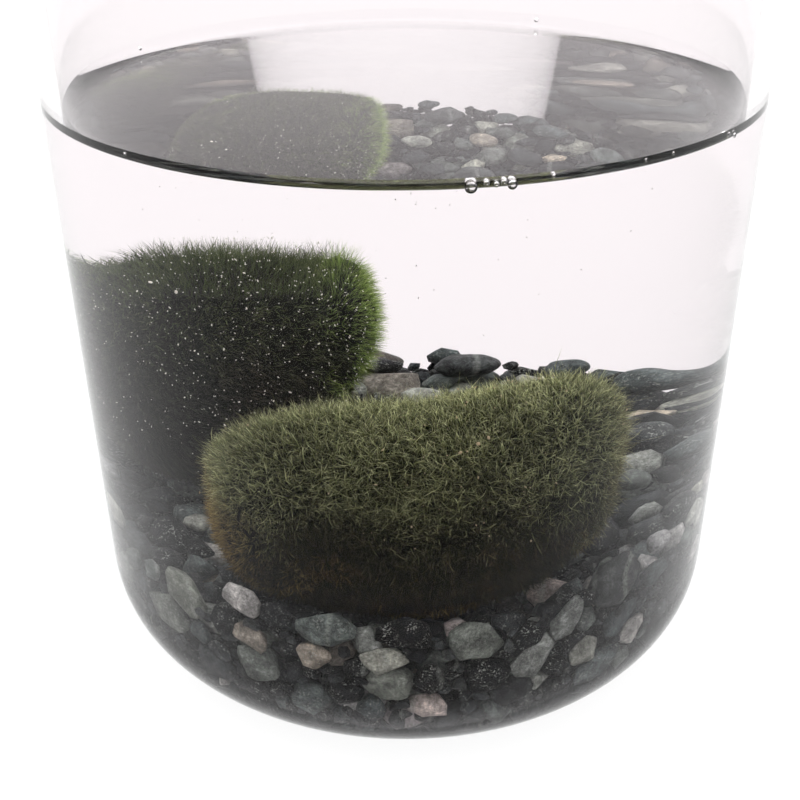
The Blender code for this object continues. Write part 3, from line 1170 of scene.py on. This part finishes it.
def back_style(place, normal, given, rng):
    """The back ball's filaments: fine and dense, standing out in a loose fringe on top."""
    count = len(place)
    dark, stain = back_zones(place, normal)
    across = shares_of(place, "moss_ball_back")[0]
    top = smooth(0.6, 0.95, normal[:, 2]) * smooth(0.05, 0.3, across)
    return {
        "length": (1.9 - 0.2 * dark + 1.5 * top) * MM * rng.uniform(0.4, 1.25, count),
        "lean": np.clip(0.35 + 0.6 * dark * (1 - top) - 0.1 * top + rng.normal(0, 0.3, count), 0.03, 1.35),
        "comb": np.tile(np.array([1.0, 0.0, -0.15]), (count, 1)),
        "follow": 0.6 * dark * (1 - top),
        "curl": rng.uniform(0.05, 0.35, count),
        "width": given.width * rng.uniform(0.45, 0.8, count) * (0.8 + 0.7 * dark) * (1 - 0.45 * top),
        "number": rng.random(count),
        # painted shade: where the ball is dark, its filaments take the old colour
        "age_and_shade": np.clip(dark + rng.normal(0, 0.05, count), 0, 1),
        "stain": np.clip(stain, 0, 1),
    }


def add_filaments(name, felt, count, style, given, finish, seed, parts=1, segments=3):
    rng = np.random.default_rng(seed)
    for part in range(parts):
        place, normal = scattered(felt, count // parts, rng)
        piece_name = f"{name}_{part + 1}" if parts > 1 else name
        mesh = filament_mesh(piece_name, place, normal, style(place, normal, given, rng), rng, segments)
        add_piece(piece_name, mesh, finish)


# Colours of the two balls' filaments: at the root, dark as painted shade deep in the moss, half way, at the
# tip, old and shaded, the colour that age and painted shade darken them to, and stained, and then the
# brightness from the lowest number to the highest
OLIVE = (
    (0.006, 0.008, 0.003),
    (0.190, 0.215, 0.088),
    (0.730, 0.770, 0.440),
    (0.021, 0.020, 0.012),
    (0.380, 0.260, 0.085),
    (0.28, 0.72, 1.5, 2.4),
)
DARK = (
    (0.046, 0.050, 0.037),
    (0.180, 0.280, 0.055),
    (0.640, 0.760, 0.300),
    (0.060, 0.060, 0.053),
    (0.092, 0.056, 0.046),
    (0.70, 0.92, 1.15, 1.5),
)


class MOSSJAR_OT_front_moss(bpy.types.Operator):
    """Make the olive moss ball at the front"""

    bl_idname = "moss_jar.front_moss"
    bl_label = "Front Moss Ball"

    def execute(self, context):
        given = context.scene.moss_jar_moss
        felt = grown("moss_ball_front", given.depth, 0.45 * MM, 51)
        finish = filament_material("Olive Filament", *OLIVE)
        count, down = given.front_filaments, given.front_down
        add_filaments(
            "front_filaments", felt, count, front_style, given, finish, 61, parts=2, segments=4
        )
        add_filaments("front_down", felt, down, front_down_style, given, finish, 63, segments=2)
        # painted shade: the felt under the front ball's filaments is near black
        body = felt_material("Olive Felt", (0.003, 0.004, 0.0015), (0.020, 0.022, 0.007))
        add_piece("front_moss_felt", felt, body, ["moss_ball_front"])
        return {"FINISHED"}


class MOSSJAR_OT_back_moss(bpy.types.Operator):
    """Make the dark moss ball behind"""

    bl_idname = "moss_jar.back_moss"
    bl_label = "Back Moss Ball"

    def execute(self, context):
        given = context.scene.moss_jar_moss
        felt = grown("moss_ball_back", given.depth * 0.8, 0.35 * MM, 52)
        co, normal = read_vectors(felt.vertices, "co"), read_vectors(felt.vertices, "normal")
        # the felt lies deeper under the loose fringe of the top and comes out further on the +X side
        across = shares_of(co, "moss_ball_back")[0]
        sunk = (1.5 + 0.9 * smooth(0.5, 0.8, across)) * MM * smooth(0.7, 0.95, normal[:, 2])
        sunk -= 1.1 * MM * smooth(0.5, 0.9, normal[:, 0])
        felt.vertices.foreach_set("co", (co - normal * sunk[:, None]).astype(np.float32).ravel())
        felt.update()
        finish = filament_material("Dark Filament", *DARK)
        add_filaments("back_filaments", felt, given.back_filaments, back_style, given, finish, 62)
        # painted shade: the felt under the back ball's filaments is near black
        body = felt_material("Dark Felt", (0.010, 0.011, 0.009), (0.024, 0.024, 0.020))
        add_piece("back_moss_felt", felt, body, ["moss_ball_back"])
        return {"FINISHED"}


# Small things on the moss and in the water

PALE_GRAINS = 900
TAN_GRAINS = 110
PLACES_TRIED = 9000
GRAIN_CORNERS = 12

# Single larger grains, in millimetres
PALE_ONES = ((-28.1, -1.5, 61.2), (-25.5, -4.6, 60.9))
TAN_ONES = ((9.7, -35.2, 50.9), (8.5, -35.8, 50.3), (6.4, -36.6, 49.4))

# Black flecks of dead leaf on the moss, in millimetres and degrees: across, height, length, lean, and how
# far they lie in front of the ball
FLECKS = (
    ("moss_ball_front", -20.9, 39.8, 1.9, 8, 1.7),
    ("moss_ball_front", -20.0, 37.6, 2.2, -32, 1.7),
    ("moss_ball_front", -19.4, 35.4, 2.0, 14, 1.7),
    ("moss_ball_front", -19.3, 37.8, 1.3, 40, 1.7),
    ("moss_ball_back", -21.8, 48.5, 2.0, 10, 0.2),
)

# Bubbles on the glass at the water's edge: degrees round from the front, height and radius in millimetres
BUBBLES = (
    (8.5, 86.7, 0.72),
    (10.4, 87.1, 0.34),
    (11.7, 86.9, 0.32),
    (12.7, 87.1, 0.36),
    (13.9, 86.7, 0.56),
    (19.4, 87.2, 0.30),
    (33.6, 87.3, 0.26),
    (38.7, 87.3, 0.22),
    (52.1, 87.1, 0.40),
    (54.0, 86.7, 0.32),
    (-41.0, 87.2, 0.26),
    (150.0, 87.1, 0.38),
    (-115.0, 87.1, 0.34),
)


def add_ball(bm, place, turn, sizes, subdivisions):
    """Adds a ball to the shape, drawn out to the three sizes, then turned and put in its place."""
    matrix = Matrix.Translation(place) @ turn @ Matrix.Diagonal((*sizes, 1))
    bmesh.ops.create_icosphere(bm, subdivisions=subdivisions, radius=1.0, matrix=matrix)


def add_grain(bm, place, radius, rng, stretch=(1.0, 1.0)):
    """Adds one small rough grain to the shape."""
    turn = Euler([rng.uniform(0, math.tau) for _ in range(3)]).to_matrix().to_4x4()
    sizes = (radius * rng.uniform(*stretch), radius * rng.uniform(0.6, 1.0), radius * 0.7)
    add_ball(bm, place, turn, sizes, 1)


def picked(places, normals, wanted, rng, count):
    """That many of the places where the wanted measure is highest by chance."""
    chance = np.clip(wanted, 0, None)
    pick = rng.choice(len(places), size=count, replace=False, p=chance / chance.sum())
    return places[pick], normals[pick]


class MOSSJAR_OT_specks(bpy.types.Operator):
    """Make the grains on the moss and the specks in the water"""

    bl_idname = "moss_jar.specks"
    bl_label = "Grains and Specks"

    def execute(self, context):
        rng = random.Random(71)
        draw = np.random.default_rng(72)
        water = context.scene.moss_jar_water

        pale = bmesh.new()
        back = merged_mesh("moss_ball_back")
        places, normals = scattered(back, PLACES_TRIED, draw)
        across, _, height = shares_of(places, "moss_ball_back")
        wanted = smooth(-0.1, 0.4, -normals[:, 1]) * smooth(0.1, 0.5, height)
        wanted *= 0.4 + smooth(0.1, 0.5, across)
        wanted += 0.3 * smooth(0.5, 0.9, normals[:, 2])
        for place, normal in zip(*picked(places, normals, wanted, draw, PALE_GRAINS)):
            radius = rng.uniform(0.045, 0.09) * MM if rng.random() < 0.9 else rng.uniform(0.09, 0.14) * MM
            add_grain(pale, Vector(place - normal * rng.uniform(-0.5, 0.5) * MM), radius, rng, (1.0, 2.2))
        for place in PALE_ONES:
            add_grain(pale, Vector(place) * MM, 0.24 * MM, rng, (1.2, 1.8))
        add_piece("pale_grains", pale, plain_material("Pale Grain", (0.80, 0.78, 0.70)))

        tan = bmesh.new()
        front = merged_mesh("moss_ball_front")
        places, normals = scattered(front, PLACES_TRIED, draw)
        across, _, height = shares_of(places, "moss_ball_front")
        wanted = smooth(0.3, 0.7, height) * (0.15 + smooth(0.3, 0.6, across) * smooth(0.9, 0.7, across))
        for place, normal in zip(*picked(places, normals, wanted, draw, TAN_GRAINS)):
            where = Vector(place - normal * rng.uniform(0.0, 0.9) * MM)
            add_grain(tan, where, rng.uniform(0.06, 0.18) * MM, rng, (1.0, 1.8))
        for place in TAN_ONES:
            add_grain(tan, Vector(place) * MM, 0.30 * MM, rng)
        add_piece("tan_grains", tan, plain_material("Tan Grain", (0.52, 0.42, 0.27)))

        dark = bmesh.new()
        trees = {node: tree_of(node) for node in ("moss_ball_front", "moss_ball_back")}
        for node, across, height, length, lean, ahead in FLECKS:
            turn = Matrix.Rotation(math.radians(lean), 4, "Y")
            before = Vector((across * MM, -JAR_RADIUS, height * MM))
            where = trees[node].ray_cast(before, Vector((0, 1, 0)))[0] - Vector((0, ahead * MM, 0))
            add_ball(dark, where, turn, Vector((0.22, 0.18, length / 2)) * MM, 2)
        for v in dark.verts:
            v.co += Vector([rng.uniform(-0.08, 0.08) for _ in range(3)]) * MM
        add_piece("dark_flecks", dark, plain_material("Dead Leaf", (0.006, 0.005, 0.004)))

        floating = bmesh.new()
        room = JAR_RADIUS - WALL
        while len(floating.verts) < GRAIN_CORNERS * water.specks:
            angle, far = rng.uniform(0, math.tau), room * math.sqrt(rng.random()) - 0.5 * MM
            place = Vector((far * math.cos(angle), far * math.sin(angle), rng.uniform(58, 85) * MM))
            add_grain(floating, place, rng.uniform(0.03, 0.085) * MM, rng, (1.0, 2.0))
        add_piece("floating_specks", floating, plain_material("Speck", (0.16, 0.13, 0.11)))

        bubbles = bmesh.new()
        for angle, height, radius in BUBBLES:
            out = JAR_RADIUS - WALL - radius * MM - 0.06 * MM
            turn = math.radians(angle)
            place = Vector((out * math.sin(turn), -out * math.cos(turn), height * MM))
            add_ball(bubbles, place, Matrix.Identity(4), Vector((radius, radius, radius)) * MM, 3)
        for face in bubbles.faces:
            face.smooth = True
        air = clear_material("Air", (1, 1, 1), 1 / WATER_IOR, (1, 1, 1))
        add_piece("air_bubbles", bubbles, air)
        return {"FINISHED"}


# The stage

# The camera's turns: down, sideways and round its own line of sight
PITCH = math.radians(29.56)
YAW = math.radians(0.33)
ROLL = math.radians(-0.47)

FLOOR_SIZE = 4.0
FLOOR_DROP = 0.3 * MM


class MOSSJAR_OT_stage(bpy.types.Operator):
    """Make the floor, the lights and the camera"""

    bl_idname = "moss_jar.stage"
    bl_label = "Stage"

    def execute(self, context):
        given = context.scene.moss_jar_stage
        scene = context.scene
        scene.view_settings.view_transform = "Standard"
        world = bpy.data.worlds.new("Studio")
        world.use_nodes = True
        tree = Tree(world.node_tree)
        place = tree.add("ShaderNodeTexCoord").outputs["Generated"]
        way = tree.add("ShaderNodeSeparateXYZ", {"Vector": place})
        overhead = tree.range(way.outputs["Z"], 0.35, 0.95, given.world, given.overhead)
        world.node_tree.nodes["Background"].inputs["Color"].default_value = (1.0, 1.0, 1.0, 1.0)
        tree.set(world.node_tree.nodes["Background"].inputs["Strength"], overhead)
        scene.world = world

        bm = bmesh.new()
        bmesh.ops.create_grid(bm, x_segments=1, y_segments=1, size=FLOOR_SIZE)
        bmesh.ops.translate(bm, verts=bm.verts, vec=(0, 0, -FLOOR_DROP))
        mesh = bpy.data.meshes.new("floor")
        bm.to_mesh(mesh)
        bm.free()
        finish, _, shader = material("Lit Floor")
        shader.inputs["Base Color"].default_value = (0.05, 0.05, 0.05, 1.0)
        shader.inputs["Roughness"].default_value = 0.9
        shader.inputs["Emission Color"].default_value = (1.0, 1.0, 1.0, 1.0)
        shader.inputs["Emission Strength"].default_value = given.floor
        mesh.materials.append(finish)
        floor = bpy.data.objects.new("floor", mesh)
        scene.collection.objects.link(floor)

        camera = bpy.data.objects.new("camera", bpy.data.cameras.new("camera"))
        camera.data.lens = given.lens
        camera.data.clip_start = 0.01
        camera.location = (0, -given.distance, given.height)
        look = Vector((math.sin(-YAW) * math.cos(PITCH), math.cos(YAW) * math.cos(PITCH), -math.sin(PITCH)))
        turn = look.to_track_quat("-Z", "Y").to_matrix()
        camera.rotation_euler = (turn @ Matrix.Rotation(ROLL, 3, "Z")).to_euler()
        scene.collection.objects.link(camera)
        scene.camera = camera
        return {"FINISHED"}


class MOSSJAR_PT_panel(bpy.types.Panel):
    """Lists the pieces in the sidebar"""

    bl_idname = "MOSSJAR_PT_panel"
    bl_label = "Moss Jar"
    bl_space_type = "VIEW_3D"
    bl_region_type = "UI"
    bl_category = "Moss Jar"

    def draw(self, context):
        for operator in OPERATORS:
            self.layout.operator(operator.bl_idname)
        for name, group in SETTINGS.items():
            box = self.layout.box()
            for setting in group.__annotations__:
                box.prop(getattr(context.scene, name), setting)


OPERATORS = (
    MOSSJAR_OT_stage,
    MOSSJAR_OT_glass,
    MOSSJAR_OT_water,
    MOSSJAR_OT_gravel,
    MOSSJAR_OT_pebbles,
    MOSSJAR_OT_front_moss,
    MOSSJAR_OT_back_moss,
    MOSSJAR_OT_specks,
)


def register():
    for name, group in SETTINGS.items():
        bpy.utils.register_class(group)
        setattr(bpy.types.Scene, name, bpy.props.PointerProperty(type=group))
    for item in (*OPERATORS, MOSSJAR_PT_panel):
        bpy.utils.register_class(item)


def unregister():
    for item in (MOSSJAR_PT_panel, *reversed(OPERATORS)):
        bpy.utils.unregister_class(item)
    for name, group in SETTINGS.items():
        delattr(bpy.types.Scene, name)
        bpy.utils.unregister_class(group)


def main():
    register()
    for operator in OPERATORS:
        family, name = operator.bl_idname.split(".")
        getattr(getattr(bpy.ops, family), name)()


if __name__ == "__main__":
    main()
